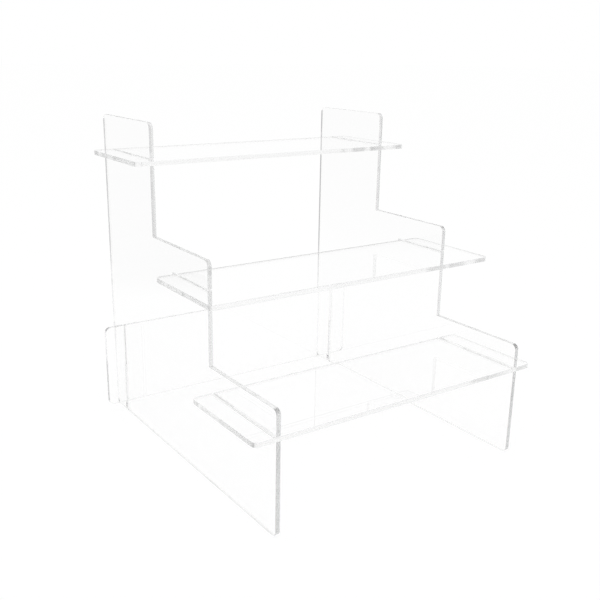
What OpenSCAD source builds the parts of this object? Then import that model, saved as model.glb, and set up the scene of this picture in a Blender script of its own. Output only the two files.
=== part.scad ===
// Tiered display stand: three shelves carried by two stepped side panels, with a brace across the back.
// Every piece is cut from clear sheet and slotted into its neighbours, with no fasteners and no glue.
// The low step faces -Y, X runs along the shelves and Z is up from the surface that the stand rests on.
// The origin lies on that surface, under the middle of the stand.

/* [Sheet] */
// Thickness of the clear sheet that every piece is cut from
sheet_t = 4; // [3:0.5:5]
// Radius of the outer corners of every piece
corner_r = 5; // [2:0.5:8]

/* [Side panels] */
// Height of the low step above the surface that the stand rests on
low_rise = 107; // [100:1:140]
// Height of the middle step above the low step
mid_rise = 90; // [70:1:130]
// Height of the top step above the middle step
top_rise = 100; // [70:1:130]
// Length of the low step from front to back
low_depth = 102; // [85:1:120]
// Length of the middle step from front to back
mid_depth = 101; // [85:1:120]
// Length of the top step from front to back
top_depth = 102; // [90:1:130]
// Height that the panel's front edge stands above the bottom shelf
low_tab = 22; // [12:1:35]
// Height that the panel's front edge stands above the middle shelf
mid_tab = 24; // [12:1:35]
// Height that the panel's front edge stands above the top shelf
top_tab = 31; // [12:1:40]

/* [Shelves] */
// Length of a shelf from end to end
shelf_l = 300; // [220:5:400]
// Depth of a shelf from front to back
shelf_d = 98; // [85:1:110]
// Length of shelf outside each side panel
shelf_overhang = 19; // [8:1:40]
// Length of the slot that a shelf slides into, from the front edge of its step
shelf_slot_l = 63; // [50:1:70]
// Distance that the middle shelf is drawn forward from its home
mid_draw = 40; // [0:1:45]
// Distance that the top shelf is drawn forward from its home
top_draw = 14; // [0:1:45]

/* [Back brace] */
// Height of the brace from its lower to its upper edge
brace_h = 82; // [60:1:100]
// Height of the brace's lower edge above the surface that the stand rests on
brace_lift = 10; // [4:1:20]
// Distance from the brace's back face to the rear edges of the side panels
brace_setback = 23; // [12:1:40]
// Length of brace outside each side panel
brace_overhang = 19; // [8:1:40]

/* [Fits] */
// Room across a slot that lets a shelf slide in it
slide_fit = 0.3; // [0.1:0.05:0.5]
// Room across the slots that hold the brace by a light push fit
push_fit = 0.1; // [0:0.05:0.2]
// Gap left between a shelf and the closed ends of its slots when it is pushed home
home_gap = 0.5; // [0.2:0.1:1]

/* [Hidden] */
$fn = 64;

// Overrun of every cut past the sheet that it opens
cut_over = 1;
// Clear sheet, drawn see-through
clear_sheet = [0.9, 0.93, 0.95, 0.45];

// Heights of the three steps above the resting surface
low_z = low_rise;
mid_z = low_z + mid_rise;
top_z = mid_z + top_rise;

// Places of the fronts of the three steps, and of the rear edge, from the front of the stand
low_y = 0;
mid_y = low_y + low_depth;
top_y = mid_y + mid_depth;
rear_y = top_y + top_depth;
stand_middle_y = rear_y / 2;

// Heights of the shelves' lower faces, which lie on the floors of their slots
bottom_shelf_z = low_z - low_tab - sheet_t;
middle_shelf_z = mid_z - mid_tab - sheet_t;
top_shelf_z = top_z - top_tab - sheet_t;

// The side panels stand under the shelves, in from the shelves' ends
panel_outer_x = shelf_l / 2 - shelf_overhang;
panel_middle_x = panel_outer_x - sheet_t / 2;

// A shelf's notch takes the part of the panel that the shelf's slot leaves
shelf_notch_l = shelf_d - shelf_slot_l + home_gap;
slide_w = sheet_t + slide_fit;

// The brace and the panels are each cut to the middle of the brace's height
brace_l = (panel_outer_x + brace_overhang) * 2;
brace_middle_y = rear_y - brace_setback - sheet_t / 2;
lap_z = brace_lift + brace_h / 2;
push_w = sheet_t + push_fit;

// Takes the sharp tip off a corner at a point: with turn 0 the sheet lies to the right of it and above it
module corner_cut(at, turn) {
    translate(at)
        rotate(turn)
        difference() {
            translate([-cut_over, -cut_over])
                square(corner_r + cut_over);
            translate([corner_r, corner_r])
                circle(corner_r);
        }
}

// Outline of a sheet with four round corners, its lower left corner at the origin
module round_rectangle(length, width) {
    difference() {
        square([length, width]);
        corner_cut([0, 0], 0);
        corner_cut([length, 0], 90);
        corner_cut([length, width], 180);
        corner_cut([0, width], 270);
    }
}

// Opening for a shelf, cut into a panel's outline from the front edge of a step
module shelf_slot(step_y, shelf_z) {
    translate([step_y - cut_over, shelf_z])
        square([shelf_slot_l + cut_over, slide_w]);
}

// Opening for the brace, cut into a panel's outline from its lower edge
module brace_slot() {
    translate([brace_middle_y - push_w / 2, -cut_over])
        square([push_w, lap_z + cut_over]);
}

// Outline of a side panel seen from the side, with Y to the right and Z up
module panel_outline() {
    difference() {
        polygon([
            [low_y, 0],
            [rear_y, 0],
            [rear_y, top_z],
            [top_y, top_z],
            [top_y, mid_z],
            [mid_y, mid_z],
            [mid_y, low_z],
            [low_y, low_z]
        ]);
        corner_cut([low_y, 0], 0);
        corner_cut([rear_y, 0], 90);
        corner_cut([rear_y, top_z], 180);
        corner_cut([top_y, top_z], 270);
        corner_cut([mid_y, mid_z], 270);
        corner_cut([low_y, low_z], 270);
        shelf_slot(low_y, bottom_shelf_z);
        shelf_slot(mid_y, middle_shelf_z);
        shelf_slot(top_y, top_shelf_z);
        brace_slot();
    }
}

// A side panel with the middle of its thickness at a place along the shelves
module side_panel(middle_x) {
    translate([middle_x - sheet_t / 2, -stand_middle_y, 0])
        rotate([90, 0, 90])
        linear_extrude(sheet_t)
        panel_outline();
}

// A shelf with its front edge and its lower face at the given places
module shelf(front_y, lower_z) {
    translate([-shelf_l / 2, front_y - stand_middle_y, lower_z])
        linear_extrude(sheet_t)
        difference() {
            round_rectangle(shelf_l, shelf_d);
            for (side = [-1, 1])
                translate([shelf_l / 2 + side * panel_middle_x - slide_w / 2, shelf_d - shelf_notch_l])
                    square([slide_w, shelf_notch_l + cut_over]);
        }
}

// Left side panel, the nearer one in the reference view
module left_side_panel() {
    color(clear_sheet)
        side_panel(-panel_middle_x);
}

// Right side panel, cut alike
module right_side_panel() {
    color(clear_sheet)
        side_panel(panel_middle_x);
}

// Bottom shelf, pushed home so that its front edge is flush with the low step
module bottom_shelf() {
    color(clear_sheet)
        shelf(low_y, bottom_shelf_z);
}

// Middle shelf, drawn forward of its step
module middle_shelf() {
    color(clear_sheet)
        shelf(mid_y - mid_draw, middle_shelf_z);
}

// Top shelf, drawn a little forward of its step
module top_shelf() {
    color(clear_sheet)
        shelf(top_y - top_draw, top_shelf_z);
}

// Back brace: an upright sheet across both panels, notched from its upper edge
module back_brace() {
    color(clear_sheet)
        translate([-brace_l / 2, brace_middle_y + sheet_t / 2 - stand_middle_y, brace_lift])
        rotate([90, 0, 0])
        linear_extrude(sheet_t)
        difference() {
            round_rectangle(brace_l, brace_h);
            for (side = [-1, 1])
                translate([brace_l / 2 + side * panel_middle_x - push_w / 2, lap_z - brace_lift])
                    square([push_w, brace_lift + brace_h - lap_z + cut_over]);
        }
}

left_side_panel();
right_side_panel();
bottom_shelf();
middle_shelf();
top_shelf();
back_brace();
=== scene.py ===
"""Tiered display stand in clear acrylic sheet, dressed for a studio picture.

Six flat sheets slot together: two stepped side panels, three shelves and a brace across the back.
Each sheet is a closed surface with polished faces and laser-cut edges, worked out from its outline.
"""

import math

import bpy
import numpy as np
from mathutils import Matrix, Vector


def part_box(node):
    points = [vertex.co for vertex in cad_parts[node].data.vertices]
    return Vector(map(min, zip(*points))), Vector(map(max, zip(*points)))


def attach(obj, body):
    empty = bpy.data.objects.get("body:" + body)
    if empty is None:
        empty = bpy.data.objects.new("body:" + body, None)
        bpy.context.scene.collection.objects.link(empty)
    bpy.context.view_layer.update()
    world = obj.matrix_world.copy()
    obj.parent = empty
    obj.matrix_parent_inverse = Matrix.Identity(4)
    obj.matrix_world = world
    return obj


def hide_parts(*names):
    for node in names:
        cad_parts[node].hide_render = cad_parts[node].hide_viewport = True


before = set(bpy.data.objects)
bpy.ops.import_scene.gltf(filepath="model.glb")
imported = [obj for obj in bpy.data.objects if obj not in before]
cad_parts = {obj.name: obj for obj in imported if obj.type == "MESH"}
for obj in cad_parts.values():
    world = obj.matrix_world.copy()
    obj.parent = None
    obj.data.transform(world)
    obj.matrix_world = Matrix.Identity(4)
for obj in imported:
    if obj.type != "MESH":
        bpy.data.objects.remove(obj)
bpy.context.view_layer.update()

bl_info = {
    "name": "Tiered Display Stand",
    "version": (1, 0, 0),
    "blender": (4, 5, 0),
    "location": "3D View > Sidebar > Stand",
    "description": "Builds a stepped stand of clear slotted sheets and a pale studio round it",
    "category": "Add Mesh",
}

MM = 0.001
PANELS = ("left_side_panel", "right_side_panel")
SHELVES = ("bottom_shelf", "middle_shelf", "top_shelf")
BRACE = "back_brace"
BODY_OF_FRAME = "side_frame"
PHOTO_SIDE_PX = 600
MOST_BOUNCES = 128


def linear_colour(code):
    """The linear RGBA of an sRGB hex code such as "F2F4F5", by the sRGB curve."""
    srgb = np.array([int(code[i : i + 2], 16) for i in (0, 2, 4)]) / 255
    linear = np.where(srgb <= 0.04045, srgb / 12.92, ((srgb + 0.055) / 1.055) ** 2.4)
    return (*linear.tolist(), 1.0)


def node_box(name):
    """Lowest and highest corner of a CAD node as two numpy arrays."""
    low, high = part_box(name)
    return np.array(low), np.array(high)


class SheetSizes(bpy.types.PropertyGroup):
    """Sizes that every sheet shares."""

    corner_radius: bpy.props.FloatProperty(
        name="Corner radius",
        description="Radius of the outer corners of every sheet",
        default=5 * MM,
        min=1 * MM,
        unit="LENGTH",
    )
    cut_corner_radius: bpy.props.FloatProperty(
        name="Cut corner radius",
        description="Radius that the cutting beam leaves in the corners of slots and steps",
        default=0.35 * MM,
        min=0.1 * MM,
        unit="LENGTH",
    )
    edge_round: bpy.props.FloatProperty(
        name="Edge rounding",
        description="Radius of the softened arris between a face and a cut edge",
        default=0.12 * MM,
        min=0.05 * MM,
        unit="LENGTH",
    )
    contact_gap: bpy.props.FloatProperty(
        name="Contact gap",
        description="Air left where two sheets bear on each other",
        default=0.04 * MM,
        min=0,
        unit="LENGTH",
    )
    slide_fit: bpy.props.FloatProperty(
        name="Slide fit",
        description="Room across a slot that lets a shelf slide in it",
        default=0.3 * MM,
        min=0,
        unit="LENGTH",
    )
    push_fit: bpy.props.FloatProperty(
        name="Push fit",
        description="Room across the slots that hold the brace",
        default=0.1 * MM,
        min=0,
        unit="LENGTH",
    )
    home_gap: bpy.props.FloatProperty(
        name="Home gap",
        description="Gap between a shelf and the closed ends of its slots when it is home",
        default=0.5 * MM,
        min=0,
        unit="LENGTH",
    )


class StepSizes(bpy.types.PropertyGroup):
    """Sizes of the steps cut into the side panels."""

    tabs: bpy.props.FloatVectorProperty(
        name="Tabs",
        description="Height of the panel's front edge above the bottom, middle and top shelf",
        default=(22 * MM, 24 * MM, 31 * MM),
        size=3,
        unit="LENGTH",
    )
    draws: bpy.props.FloatVectorProperty(
        name="Draws",
        description="Distance that the bottom, middle and top shelf is drawn forward of its step",
        default=(0, 40 * MM, 14 * MM),
        size=3,
        unit="LENGTH",
    )
    slot_length: bpy.props.FloatProperty(
        name="Slot length",
        description="Length of the slot that a shelf slides into, from the front of its step",
        default=63 * MM,
        unit="LENGTH",
    )


class AcrylicFinish(bpy.types.PropertyGroup):
    """Finish of the clear cast acrylic sheet."""

    tint: bpy.props.FloatVectorProperty(
        name="Tint",
        description="Colour that light takes on over a long way inside the sheet",
        subtype="COLOR",
        size=4,
        default=linear_colour("808282"),
    )
    absorption: bpy.props.FloatProperty(
        name="Absorption",
        description="Absorption coefficient of the sheet per metre, which greys the cut edges",
        default=0.3,
        min=0,
    )
    ior: bpy.props.FloatProperty(
        name="IOR",
        description="Index of refraction of acrylic",
        default=1.49,
        min=1,
    )
    face_roughness: bpy.props.FloatProperty(
        name="Face roughness",
        description="Roughness of the polished faces",
        default=0.0,
        min=0,
        max=1,
    )
    cut_roughness: bpy.props.FloatProperty(
        name="Cut edge roughness",
        description="Roughness of the laser-cut edges",
        default=0.16,
        min=0,
        max=1,
    )
    # Painted shade: a grey base colour that darkens the panels' front-facing cut edges.
    shade_grey: bpy.props.FloatVectorProperty(
        name="Worn grey",
        description="Colour of the panels' front edges, rubbed a little dull by the shelves",
        subtype="COLOR",
        size=4,
        default=linear_colour("E8E9E9"),
    )
    streak_spacing: bpy.props.FloatProperty(
        name="Streak spacing",
        description="Distance between the fine marks that the beam leaves across a cut edge",
        default=1.2 * MM,
        min=0.1 * MM,
        unit="LENGTH",
    )
    streak_depth: bpy.props.FloatProperty(
        name="Streak depth",
        description="Depth of the fine marks across a cut edge",
        default=0.06 * MM,
        min=0,
        unit="LENGTH",
    )
    streak_strength: bpy.props.FloatProperty(
        name="Streak strength",
        description="Share of the marks' depth that shows in the gloss of a cut edge",
        default=0.25,
        min=0,
        max=1,
        subtype="FACTOR",
    )
    melt_spacing: bpy.props.FloatProperty(
        name="Melt spacing",
        description="Distance over which a cut edge changes from glossy to dull, as the beam melts it",
        default=9 * MM,
        min=1 * MM,
        unit="LENGTH",
    )


class StudioSettings(bpy.types.PropertyGroup):
    """Floor, backdrop and light of the studio."""

    floor_colour: bpy.props.FloatVectorProperty(
        name="Floor colour",
        description="Colour of the seamless pale floor",
        subtype="COLOR",
        size=4,
        default=linear_colour("FBFBFB"),
    )
    floor_side: bpy.props.FloatProperty(
        name="Floor side",
        description="Length of each side of the floor",
        default=30,
        min=1,
        unit="LENGTH",
    )
    floor_gap: bpy.props.FloatProperty(
        name="Floor gap",
        description="Air between the floor and the lower edges of the panels",
        default=0.2 * MM,
        min=0,
        unit="LENGTH",
    )
    shadow_share: bpy.props.FloatProperty(
        name="Shadow share",
        description="Share of the floor's brightness that shadows take away",
        default=0.1,
        min=0,
        max=1,
        subtype="FACTOR",
    )
    backdrop_turn: bpy.props.FloatProperty(
        name="Backdrop turn",
        description="Angle from +Y, towards +X, at which the white backdrop stands",
        default=math.radians(25),
        subtype="ANGLE",
    )
    backdrop_spread: bpy.props.FloatProperty(
        name="Backdrop spread",
        description="Angle from the middle of the backdrop to the middle of its fading ends",
        default=math.radians(50),
        subtype="ANGLE",
    )
    backdrop_fade: bpy.props.FloatProperty(
        name="Backdrop fade",
        description="Half of the angle over which an end of the backdrop fades into the room",
        default=math.radians(25),
        subtype="ANGLE",
    )
    sheet_middle: bpy.props.FloatVectorProperty(
        name="Sheet middle",
        description="Middle of the white sheet that lies under the stand and behind it",
        default=(-0.05, 0.06, 0),
        size=3,
        unit="LENGTH",
    )
    sheet_reach: bpy.props.FloatProperty(
        name="Sheet reach",
        description="Distance that the white sheet reaches from its middle",
        default=0.55,
        min=0,
        unit="LENGTH",
    )
    sheet_fade: bpy.props.FloatProperty(
        name="Sheet fade",
        description="Share of the reach, to each side of it, over which the white sheet fades",
        default=0.15,
        min=0,
        max=1,
        subtype="FACTOR",
    )
    wall_level: bpy.props.FloatProperty(
        name="Wall level",
        description="Brightness of the walls beside the white backdrop, as the sheets mirror them inside",
        default=0.75,
        min=0,
    )
    ground_level: bpy.props.FloatProperty(
        name="Ground level",
        description="Brightness of the ground beyond the white sheet, as the sheets mirror it inside",
        default=0.5,
        min=0,
    )
    ceiling_level: bpy.props.FloatProperty(
        name="Ceiling level",
        description="Brightness overhead as a share of the walls' brightness",
        default=0.55,
        min=0,
    )
    ceiling_start: bpy.props.FloatProperty(
        name="Ceiling start",
        description="Height above the horizon at which the walls start to darken towards the ceiling",
        default=math.radians(25),
        subtype="ANGLE",
    )
    ceiling_full: bpy.props.FloatProperty(
        name="Ceiling full",
        description="Height above the horizon from which the ceiling is at its full darkness",
        default=math.radians(60),
        subtype="ANGLE",
    )
    softbox_power: bpy.props.FloatProperty(
        name="Softbox power",
        description="Power of the overhead softbox",
        default=4,
        min=0,
        unit="POWER",
    )
    softbox_side: bpy.props.FloatProperty(
        name="Softbox side",
        description="Length of each side of the overhead softbox",
        default=1.2,
        min=0.1,
        unit="LENGTH",
    )
    softbox_place: bpy.props.FloatVectorProperty(
        name="Softbox place",
        description="Middle of the softbox, above the stand and a little towards the camera",
        default=(-0.5, -0.4, 1.7),
        size=3,
        unit="LENGTH",
    )
    softbox_aim: bpy.props.FloatVectorProperty(
        name="Softbox aim",
        description="Point that the softbox faces",
        default=(0, 0, 0.1),
        size=3,
        unit="LENGTH",
    )


def rounded_outline(corners, radii, steps=9):
    """Points and outward normals of a closed outline that goes round anticlockwise.

    Where the outline turns by an angle a at a corner, the arc of radius r starts r tan(a / 2) before
    the corner, and its points are the start turned about the arc's centre by even shares of a.
    """
    corners, radii = np.asarray(corners, float), np.asarray(radii, float)
    onward = np.roll(corners, -1, axis=0) - corners
    onward /= np.linalg.norm(onward, axis=1, keepdims=True)
    inward = np.roll(onward, 1, axis=0)
    cross = inward[:, 0] * onward[:, 1] - inward[:, 1] * onward[:, 0]
    turn = np.arctan2(cross, (inward * onward).sum(1))
    start = corners - inward * (radii * np.tan(np.abs(turn) / 2))[:, None]
    left = np.stack([-inward[:, 1], inward[:, 0]], 1)
    centre = start + left * (np.sign(turn) * radii)[:, None]

    angle = turn[:, None] * np.linspace(0, 1, steps)
    cosine, sine = np.cos(angle), np.sin(angle)

    def turned(vector):
        x, y = vector[:, :1], vector[:, 1:]
        return np.stack([x * cosine - y * sine, x * sine + y * cosine], -1).reshape(-1, 2)

    points = np.repeat(centre, steps, axis=0) + turned(start - centre)
    return points, turned(-left)


def edge_profile(thickness, edge_round, steps=5):
    """Inset, height and tilt of the points across a cut edge, from the lower face to the upper one.

    Each arris is a quarter circle of radius r: at an angle t it lies r (1 - cos t) in from the edge
    and r (1 - sin t) in from the face. The tilt is the normal's share towards the face.
    """
    angle = np.linspace(math.pi / 2, 0, steps)
    inset = edge_round * (1 - np.cos(angle))
    height = edge_round * (1 - np.sin(angle))
    tilt = np.sin(angle)
    return (
        np.concatenate([inset, inset[::-1]]),
        np.concatenate([height, thickness - height[::-1]]),
        np.concatenate([-tilt, tilt[::-1]]),
    )


def sheet_faces(count, rings):
    """Corner numbers of the edge's quads, then of the lower and the upper face, all facing outwards.

    Point number k * rings + j lies at outline point k and profile point j.
    """
    along, across = np.arange(count)[:, None], np.arange(rings - 1)[None]
    here = along * rings + across
    onward = (along + 1) % count * rings + across
    quads = np.stack([here, onward, onward + 1, here + 1], -1).reshape(-1, 4)
    lower = (np.arange(count) * rings)[::-1]
    upper = np.arange(count) * rings + rings - 1
    return [*quads.tolist(), lower.tolist(), upper.tolist()]


def write_edge_run(mesh, outline, height):
    """UV map in metres: the way round the edge and the height across it, and plain places on faces.

    The way round is the running sum of the distances between outline points. The last quad of each
    ring ends at the whole way round, not at 0, so that no pattern is squeezed into it.
    """
    count, bands = len(outline), len(height) - 1
    step = np.linalg.norm(np.roll(outline, -1, axis=0) - outline, axis=1)
    run_end = np.cumsum(step)
    run_start = np.append(0, run_end[:-1])
    edge_u = np.stack([run_start, run_end, run_end, run_start], -1)[:, None]
    edge_v = np.stack([height[:-1], height[:-1], height[1:], height[1:]], -1)[None]
    edge = np.stack(
        [
            np.broadcast_to(edge_u, (count, bands, 4)),
            np.broadcast_to(edge_v, (count, bands, 4)),
        ],
        -1,
    ).reshape(-1, 2)
    uv = np.concatenate([edge, outline[::-1], outline]).astype(np.float32)
    mesh.uv_layers.new(name="edge_run").data.foreach_set("uv", uv.ravel())


def write_edge_marks(mesh, outward, bands, shaded_side):
    """Face attributes: cut_edge is 1 on the cut edge, and a second one gives its share that gets painted
    shade.

    That share is the part of the outline's normal that points in the given direction, so it is
    1 on an edge that faces that way, falls off round a corner, and is 0 on all other edges. The
    material tints that share grey, as painted shade that darkens those edges.
    """
    on_edge = np.ones((len(outward), bands))
    shaded = on_edge * np.clip(outward @ np.asarray(shaded_side, float), 0, 1)[:, None]
    for key, values in (("cut_edge", on_edge), ("shaded_edge", shaded)):
        share = np.append(values.ravel(), [0, 0]).astype(np.float32)
        mesh.attributes.new(key, "FLOAT", "FACE").data.foreach_set("value", share)


def sheet_piece(name, corners, radii, thickness, placing, sizes, shaded_side=(0, 0)):
    """A closed sheet: the edge profile carried along the outline, with a flat face on each side.

    A point is outline + inset x (minus the outline's normal), at the profile's height, and placing
    takes those three coordinates to the stand's own. Its normal leans from the outline's normal
    towards the face by the profile's tilt. The last argument is the direction in the outline's own
    plane that the edges tinted grey as painted shade face, or (0, 0) where none is.
    """
    outline, outward = rounded_outline(corners, radii)
    inset, height, tilt = edge_profile(thickness, sizes.edge_round)
    count, rings = len(outline), len(inset)

    flat = outline[:, None] - outward[:, None] * inset[:, None]
    local = np.concatenate([flat, np.broadcast_to(height[:, None], (count, rings, 1))], -1)
    lean = np.sqrt(1 - tilt**2)[:, None]
    normal = np.concatenate(
        [outward[:, None] * lean, np.broadcast_to(tilt[:, None], (count, rings, 1))], -1
    )
    axes, origin = placing
    points = local.reshape(-1, 3) @ axes + origin
    normals = normal.reshape(-1, 3) @ axes

    mesh = bpy.data.meshes.new(name)
    mesh.from_pydata(points.tolist(), [], sheet_faces(count, rings))
    mesh.polygons.foreach_set("use_smooth", np.ones(len(mesh.polygons), bool))
    write_edge_run(mesh, outline, height)
    write_edge_marks(mesh, outward, rings - 1, shaded_side)
    mesh.normals_split_custom_set_from_vertices(normals.tolist())
    if mesh.validate(verbose=False):
        raise RuntimeError(f"the surface of {name} isn't sound")
    mesh.update()

    piece = bpy.data.objects.new(name, mesh)
    bpy.context.scene.collection.objects.link(piece)
    mesh.materials.append(clear_cast_acrylic())
    return piece


def fit_piece(piece, body, node):
    """The piece rides on its body in place of its CAD node."""
    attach(piece, body)
    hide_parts(node)


def add_node(tree, kind, settings=None, inputs=None, links=None):
    """Adds a shader node with its settings, input values and links from other nodes' sockets."""
    node = tree.nodes.new(kind)
    for key, value in (settings or {}).items():
        setattr(node, key, value)
    for key, value in (inputs or {}).items():
        node.inputs[key].default_value = value
    for key, source in (links or {}).items():
        tree.links.new(source, node.inputs[key])
    return node


def clear_cast_acrylic():
    """Clear cast acrylic sheet: faces polished flat by the casting glass, edges cut by laser.

    The faces are glossy and almost unseen. Light that enters at a cut edge runs on inside the sheet
    for its whole length and comes out greyer, so edges draw every piece. The beam melts an edge
    unevenly, which gives it duller and glossier stretches, and leaves fine marks across it, drawn
    here about three times as coarse as real so that they show. The panels' front-facing edges are
    tinted a little grey, which is painted shade that darkens them.
    """
    name = "clear_cast_acrylic"
    material = bpy.data.materials.get(name)
    if material:
        return material
    finish = bpy.context.scene.acrylic_finish
    material = bpy.data.materials.new(name)
    material.use_nodes = True
    tree = material.node_tree
    tree.nodes.clear()

    # A mark changes about an eighth as fast across the edge as along it, so it crosses the edge whole.
    across_share = 0.12
    # The noise stays mostly between these two values, which give the glossiest and dullest stretch.
    noise_low, noise_high = 0.3, 0.7
    glossy_share, dull_share = 0.5, 1.6

    cut = add_node(tree, "ShaderNodeAttribute", {"attribute_name": "cut_edge"})
    run = add_node(tree, "ShaderNodeUVMap", {"uv_map": "edge_run"})
    place = add_node(tree, "ShaderNodeTexCoord")

    streak_scale = add_node(
        tree,
        "ShaderNodeMapping",
        inputs={"Scale": (1 / finish.streak_spacing, across_share / finish.streak_spacing, 1)},
        links={"Vector": run.outputs["UV"]},
    )
    streaks = add_node(
        tree,
        "ShaderNodeTexNoise",
        inputs={"Scale": 1, "Detail": 3, "Roughness": 0.6},
        links={"Vector": streak_scale.outputs["Vector"]},
    )
    melt = add_node(
        tree,
        "ShaderNodeTexNoise",
        inputs={"Scale": 1 / finish.melt_spacing, "Detail": 2, "Roughness": 0.5},
        links={"Vector": place.outputs["Object"]},
    )
    melt_range = add_node(
        tree,
        "ShaderNodeMapRange",
        inputs={
            "From Min": noise_low,
            "From Max": noise_high,
            "To Min": finish.cut_roughness * glossy_share,
            "To Max": finish.cut_roughness * dull_share,
        },
        links={"Value": melt.outputs["Fac"]},
    )
    roughness = add_node(
        tree,
        "ShaderNodeMix",
        {"data_type": "FLOAT"},
        {"A": finish.face_roughness},
        {"Factor": cut.outputs["Fac"], "B": melt_range.outputs["Result"]},
    )
    marks = add_node(
        tree,
        "ShaderNodeMath",
        {"operation": "MULTIPLY"},
        links={0: streaks.outputs["Fac"], 1: cut.outputs["Fac"]},
    )
    bump = add_node(
        tree,
        "ShaderNodeBump",
        inputs={"Strength": finish.streak_strength, "Distance": finish.streak_depth},
        links={"Height": marks.outputs["Value"]},
    )
    # Painted shade: the base colour turns grey on the panels' front-facing edges, which darkens them.
    shaded_side = add_node(tree, "ShaderNodeAttribute", {"attribute_name": "shaded_edge"})
    colour = add_node(
        tree,
        "ShaderNodeMix",
        {"data_type": "RGBA"},
        {"A": (1, 1, 1, 1), "B": tuple(finish.shade_grey)},
        {"Factor": shaded_side.outputs["Fac"]},
    )
    surface = add_node(
        tree,
        "ShaderNodeBsdfPrincipled",
        inputs={"IOR": finish.ior, "Transmission Weight": 1},
        links={
            "Base Color": colour.outputs["Result"],
            "Roughness": roughness.outputs["Result"],
            "Normal": bump.outputs["Normal"],
        },
    )
    # The volume takes away density times (1 - tint) per metre, so this density gives the absorption.
    density = finish.absorption / (1 - finish.tint[0])
    inside = add_node(
        tree,
        "ShaderNodeVolumeAbsorption",
        inputs={"Color": tuple(finish.tint), "Density": density},
    )
    add_node(
        tree,
        "ShaderNodeOutputMaterial",
        links={"Surface": surface.outputs["BSDF"], "Volume": inside.outputs["Volume"]},
    )
    return material


def panel_outline(sizes, steps, low, high):
    """Corners and radii of a side panel, as (y, z) pairs going round anticlockwise from the front."""
    big, small, gap = sizes.corner_radius, sizes.cut_corner_radius, sizes.contact_gap
    brace_low, brace_high = node_box(BRACE)
    lap = (brace_low[2] + brace_high[2]) / 2 + gap
    half_push = (brace_high[1] - brace_low[1] + sizes.push_fit) / 2
    brace_y = (brace_low[1] + brace_high[1]) / 2
    outline = [
        ((low[1], low[2]), big),
        ((brace_y - half_push, low[2]), small),
        ((brace_y - half_push, lap), small),
        ((brace_y + half_push, lap), small),
        ((brace_y + half_push, low[2]), small),
        ((high[1], low[2]), big),
        ((high[1], high[2]), big),
    ]

    shelves = [node_box(name) for name in SHELVES]
    step_z = [shelf_high[2] + tab for (_, shelf_high), tab in zip(shelves, steps.tabs)]
    for k in (2, 1, 0):
        shelf_low, shelf_high = shelves[k]
        front = shelf_low[1] + steps.draws[k]
        end = front + steps.slot_length
        floor = shelf_low[2] - gap
        roof = shelf_high[2] + sizes.slide_fit
        outline += [
            ((front, step_z[k]), big),
            ((front, roof), small),
            ((end, roof), small),
            ((end, floor), small),
            ((front, floor), small),
        ]
        if k > 0:
            outline.append(((front, step_z[k - 1]), small))
    points, radii = zip(*outline)
    return points, radii


def notched_outline(length, width, notch_places, notch_width, notch_length, sizes):
    """Corners and radii of a sheet with its lower left corner at 0, notched from its far side."""
    big, small = sizes.corner_radius, sizes.cut_corner_radius
    outline = [((0, 0), big), ((length, 0), big), ((length, width), big)]
    for place in sorted(notch_places, reverse=True):
        left, right = place - notch_width / 2, place + notch_width / 2
        outline += [
            ((right, width), small),
            ((right, width - notch_length), small),
            ((left, width - notch_length), small),
            ((left, width), small),
        ]
    outline.append(((0, width), big))
    points, radii = zip(*outline)
    return points, radii


def panel_places(origin_x):
    """Distances from a sheet's left end to the middles of the two side panels."""
    boxes = [node_box(name) for name in PANELS]
    return [(low[0] + high[0]) / 2 - origin_x for low, high in boxes]


class STAND_OT_side_panels(bpy.types.Operator):
    """Builds the two stepped side panels"""

    bl_idname = "stand.side_panels"
    bl_label = "Side panels"

    def execute(self, context):
        sizes, steps = context.scene.sheet_sizes, context.scene.step_sizes
        axes = np.array([[0, 1, 0], [0, 0, 1], [1, 0, 0]], float)
        for name in PANELS:
            low, high = node_box(name)
            corners, radii = panel_outline(sizes, steps, low, high)
            origin = np.array([low[0], 0, 0])
            piece = sheet_piece(
                f"{name}_sheet",
                corners,
                radii,
                high[0] - low[0],
                (axes, origin),
                sizes,
                # The edges that face the front get the painted shade.
                shaded_side=(-1, 0),
            )
            fit_piece(piece, BODY_OF_FRAME, name)
        return {"FINISHED"}


class STAND_OT_shelves(bpy.types.Operator):
    """Builds the three shelves, notched from their rear edges"""

    bl_idname = "stand.shelves"
    bl_label = "Shelves"

    def execute(self, context):
        sizes, steps = context.scene.sheet_sizes, context.scene.step_sizes
        for name in SHELVES:
            low, high = node_box(name)
            length, width, thickness = high - low
            corners, radii = notched_outline(
                length,
                width,
                panel_places(low[0]),
                thickness + sizes.slide_fit,
                width - steps.slot_length + sizes.home_gap,
                sizes,
            )
            piece = sheet_piece(
                f"{name}_sheet", corners, radii, thickness, (np.eye(3), low), sizes
            )
            fit_piece(piece, f"{name}_body", name)
        return {"FINISHED"}


class STAND_OT_back_brace(bpy.types.Operator):
    """Builds the upright brace across the back, notched from its upper edge"""

    bl_idname = "stand.back_brace"
    bl_label = "Back brace"

    def execute(self, context):
        sizes = context.scene.sheet_sizes
        low, high = node_box(BRACE)
        length, thickness, height = high - low
        corners, radii = notched_outline(
            length,
            height,
            panel_places(low[0]),
            thickness + sizes.push_fit,
            height / 2 + sizes.contact_gap,
            sizes,
        )
        axes = np.array([[1, 0, 0], [0, 0, 1], [0, -1, 0]], float)
        origin = np.array([low[0], high[1], low[2]])
        piece = sheet_piece(f"{BRACE}_sheet", corners, radii, thickness, (axes, origin), sizes)
        fit_piece(piece, BODY_OF_FRAME, BRACE)
        return {"FINISHED"}


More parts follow.
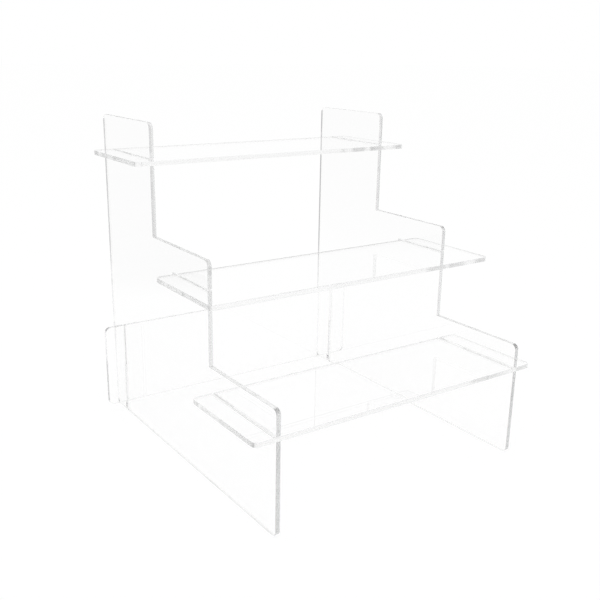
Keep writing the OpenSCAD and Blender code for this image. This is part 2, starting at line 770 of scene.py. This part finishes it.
def backdrop_share(tree, vector, studio):
    """Socket that is 1 where a direction, laid level, points at the white backdrop, and 0 beside it.

    The cosine of the angle between the two directions rises smoothly from 0 to 1 across the fade.
    """
    level = add_node(
        tree,
        "ShaderNodeVectorMath",
        {"operation": "MULTIPLY"},
        {1: (1, 1, 0)},
        {0: vector},
    )
    level = add_node(
        tree, "ShaderNodeVectorMath", {"operation": "NORMALIZE"}, links={0: level.outputs["Vector"]}
    )
    towards = (math.sin(studio.backdrop_turn), math.cos(studio.backdrop_turn), 0)
    near = add_node(
        tree,
        "ShaderNodeVectorMath",
        {"operation": "DOT_PRODUCT"},
        {1: towards},
        {0: level.outputs["Vector"]},
    )
    share = add_node(
        tree,
        "ShaderNodeMapRange",
        {"interpolation_type": "SMOOTHSTEP"},
        {
            "From Min": math.cos(studio.backdrop_spread + studio.backdrop_fade),
            "From Max": math.cos(studio.backdrop_spread - studio.backdrop_fade),
        },
        {"Value": near.outputs["Value"]},
    )
    return share.outputs["Result"]


def mirrored_share(tree):
    """Socket that is 1 for light that was mirrored inside a sheet on its way, and 0 otherwise.

    One depth counts how often the light was mirrored, the other how often it passed through a
    surface. Their product is above 0 only for light that did both, and it is cut off at 1.
    """
    path = add_node(tree, "ShaderNodeLightPath")
    share = add_node(
        tree,
        "ShaderNodeMath",
        {"operation": "MULTIPLY", "use_clamp": True},
        links={0: path.outputs["Glossy Depth"], 1: path.outputs["Transmission Depth"]},
    )
    return share.outputs["Value"]


def seamless_floor(studio):
    """Seamless white paper: matt and even, with only a faint shadow on it.

    Seen straight, or through the clear sheets, it is plain white. Mirrored inside a sheet, it is
    white as far as the sheet of paper reaches, and dim beyond it except under the backdrop.
    """
    material = bpy.data.materials.new("seamless_paper")
    material.use_nodes = True
    tree = material.node_tree
    tree.nodes.clear()
    place = add_node(tree, "ShaderNodeTexCoord").outputs["Object"]
    distance = add_node(
        tree,
        "ShaderNodeVectorMath",
        {"operation": "DISTANCE"},
        {1: tuple(studio.sheet_middle)},
        {0: place},
    )
    sheet = add_node(
        tree,
        "ShaderNodeMapRange",
        {"interpolation_type": "SMOOTHSTEP"},
        {
            "From Min": studio.sheet_reach * (1 - studio.sheet_fade),
            "From Max": studio.sheet_reach * (1 + studio.sheet_fade),
            "To Min": 1,
            "To Max": studio.ground_level,
        },
        {"Value": distance.outputs["Value"]},
    )
    mirrored_level = add_node(
        tree,
        "ShaderNodeMix",
        {"data_type": "FLOAT"},
        {"B": 1},
        {"Factor": backdrop_share(tree, place, studio), "A": sheet.outputs["Result"]},
    )
    level = add_node(
        tree,
        "ShaderNodeMix",
        {"data_type": "FLOAT"},
        {"A": 1},
        {"Factor": mirrored_share(tree), "B": mirrored_level.outputs["Result"]},
    )
    rays = add_node(tree, "ShaderNodeLightPath")
    share = add_node(
        tree,
        "ShaderNodeMapRange",
        inputs={"To Min": 1 - studio.shadow_share, "To Max": 0},
        links={"Value": rays.outputs["Is Diffuse Ray"]},
    )
    paper = add_node(
        tree, "ShaderNodeBsdfDiffuse", inputs={"Color": tuple(studio.floor_colour)}
    )
    white = add_node(
        tree,
        "ShaderNodeEmission",
        inputs={"Color": (1, 1, 1, 1)},
        links={"Strength": level.outputs["Result"]},
    )
    mixed = add_node(
        tree,
        "ShaderNodeMixShader",
        links={0: share.outputs["Result"], 1: paper.outputs["BSDF"], 2: white.outputs["Emission"]},
    )
    add_node(tree, "ShaderNodeOutputMaterial", links={"Surface": mixed.outputs["Shader"]})
    return material


def studio_world(studio):
    """Plain white room, and a white backdrop with a dim room beside it where a sheet mirrors it."""
    world = bpy.data.worlds.new("studio")
    world.use_nodes = True
    tree = world.node_tree
    tree.nodes.clear()
    direction = add_node(tree, "ShaderNodeTexCoord").outputs["Generated"]
    walls = add_node(
        tree,
        "ShaderNodeMapRange",
        inputs={"To Min": studio.wall_level, "To Max": 1},
        links={"Value": backdrop_share(tree, direction, studio)},
    )
    parts = add_node(tree, "ShaderNodeSeparateXYZ", links={"Vector": direction})
    overhead = add_node(
        tree,
        "ShaderNodeMapRange",
        {"interpolation_type": "SMOOTHSTEP"},
        {
            "From Min": math.sin(studio.ceiling_start),
            "From Max": math.sin(studio.ceiling_full),
            "To Min": 1,
            "To Max": studio.ceiling_level,
        },
        {"Value": parts.outputs["Z"]},
    )
    mirrored_level = add_node(
        tree,
        "ShaderNodeMath",
        {"operation": "MULTIPLY"},
        links={0: walls.outputs["Result"], 1: overhead.outputs["Result"]},
    )
    level = add_node(
        tree,
        "ShaderNodeMix",
        {"data_type": "FLOAT"},
        {"A": 1},
        {"Factor": mirrored_share(tree), "B": mirrored_level.outputs["Value"]},
    )
    light = add_node(
        tree,
        "ShaderNodeBackground",
        inputs={"Color": (1, 1, 1, 1)},
        links={"Strength": level.outputs["Result"]},
    )
    add_node(tree, "ShaderNodeOutputWorld", links={"Surface": light.outputs["Background"]})
    return world


def overhead_softbox(studio):
    """A square area lamp above the stand, turned to face it."""
    lamp = bpy.data.lights.new("overhead_softbox", "AREA")
    lamp.shape = "SQUARE"
    lamp.size = studio.softbox_side
    lamp.energy = studio.softbox_power
    softbox = bpy.data.objects.new("overhead_softbox", lamp)
    bpy.context.scene.collection.objects.link(softbox)
    place, aim = Vector(studio.softbox_place), Vector(studio.softbox_aim)
    softbox.location = place
    softbox.rotation_euler = (aim - place).to_track_quat("-Z", "Y").to_euler()


def photo_camera():
    """The photograph's camera, solved from the straight edges of the stand.

    It looks along its azimuth from +Y, towards -X where positive, and down by its elevation, and is
    then rolled about that line. The focal length is in pixels of the 600 pixel wide photograph.
    """
    focal_px = 823.0
    azimuth, elevation, roll = (math.radians(d) for d in (-35.07, 17.06, -1.02))
    place = Vector((-0.4346, -0.6123, 0.3608))
    ahead = Vector(
        (
            -math.sin(azimuth) * math.cos(elevation),
            math.cos(azimuth) * math.cos(elevation),
            -math.sin(elevation),
        )
    )
    across = Vector((math.cos(azimuth), math.sin(azimuth), 0))
    down = ahead.cross(across)
    right = across * math.cos(roll) + down * math.sin(roll)
    under = down * math.cos(roll) - across * math.sin(roll)
    data = bpy.data.cameras.new("photo_camera")
    data.sensor_fit = "HORIZONTAL"
    data.sensor_width = 36
    data.lens = data.sensor_width * focal_px / PHOTO_SIDE_PX
    camera = bpy.data.objects.new("photo_camera", data)
    bpy.context.scene.collection.objects.link(camera)
    turn = Matrix((right, -under, -ahead)).transposed()
    camera.matrix_world = Matrix.Translation(place) @ turn.to_4x4()
    return camera


class STAND_OT_studio(bpy.types.Operator):
    """Builds the pale floor, the soft light and the camera"""

    bl_idname = "stand.studio"
    bl_label = "Studio"

    def execute(self, context):
        scene, studio = context.scene, context.scene.studio_settings
        half, z = studio.floor_side / 2, -studio.floor_gap
        mesh = bpy.data.meshes.new("floor")
        mesh.from_pydata(
            [(-half, -half, z), (half, -half, z), (half, half, z), (-half, half, z)],
            [],
            [(0, 1, 2, 3)],
        )
        floor = bpy.data.objects.new("floor", mesh)
        scene.collection.objects.link(floor)
        mesh.materials.append(seamless_floor(studio))

        scene.world = studio_world(studio)
        overhead_softbox(studio)
        scene.camera = photo_camera()
        scene.view_settings.view_transform = "Standard"

        # Light goes round inside a sheet many times, and thin bright lines must not be smoothed out.
        scene.cycles.max_bounces = MOST_BOUNCES
        scene.cycles.glossy_bounces = MOST_BOUNCES
        scene.cycles.transmission_bounces = MOST_BOUNCES
        scene.cycles.use_adaptive_sampling = False
        scene.cycles.blur_glossy = 0
        return {"FINISHED"}


class STAND_PT_sidebar(bpy.types.Panel):
    """Sidebar panel with the sizes, the finish and a button for each group of pieces"""

    bl_idname = "STAND_PT_sidebar"
    bl_label = "Tiered Display Stand"
    bl_space_type = "VIEW_3D"
    bl_region_type = "UI"
    bl_category = "Stand"

    def draw(self, context):
        """Lists each group's settings in a box of its own, then the operators"""
        layout = self.layout
        for group in GROUPS:
            settings = getattr(context.scene, group)
            box = layout.box()
            for key in type(settings).__annotations__:
                box.prop(settings, key)
        for operator in BUILDERS:
            layout.operator(operator.bl_idname)


GROUPS = {
    "sheet_sizes": SheetSizes,
    "step_sizes": StepSizes,
    "acrylic_finish": AcrylicFinish,
    "studio_settings": StudioSettings,
}
BUILDERS = (
    STAND_OT_side_panels,
    STAND_OT_shelves,
    STAND_OT_back_brace,
    STAND_OT_studio,
)


def register():
    """Registers the classes and hangs the settings on the scene."""
    for cls in (*GROUPS.values(), *BUILDERS, STAND_PT_sidebar):
        bpy.utils.register_class(cls)
    for name, cls in GROUPS.items():
        setattr(bpy.types.Scene, name, bpy.props.PointerProperty(type=cls))


def unregister():
    """Takes the settings off the scene and unregisters the classes, last one first."""
    for name in GROUPS:
        delattr(bpy.types.Scene, name)
    for cls in (STAND_PT_sidebar, *reversed(BUILDERS), *reversed(GROUPS.values())):
        bpy.utils.unregister_class(cls)


def main():
    register()
    bpy.ops.stand.side_panels()
    bpy.ops.stand.shelves()
    bpy.ops.stand.back_brace()
    bpy.ops.stand.studio()


if __name__ == "__main__":
    main()
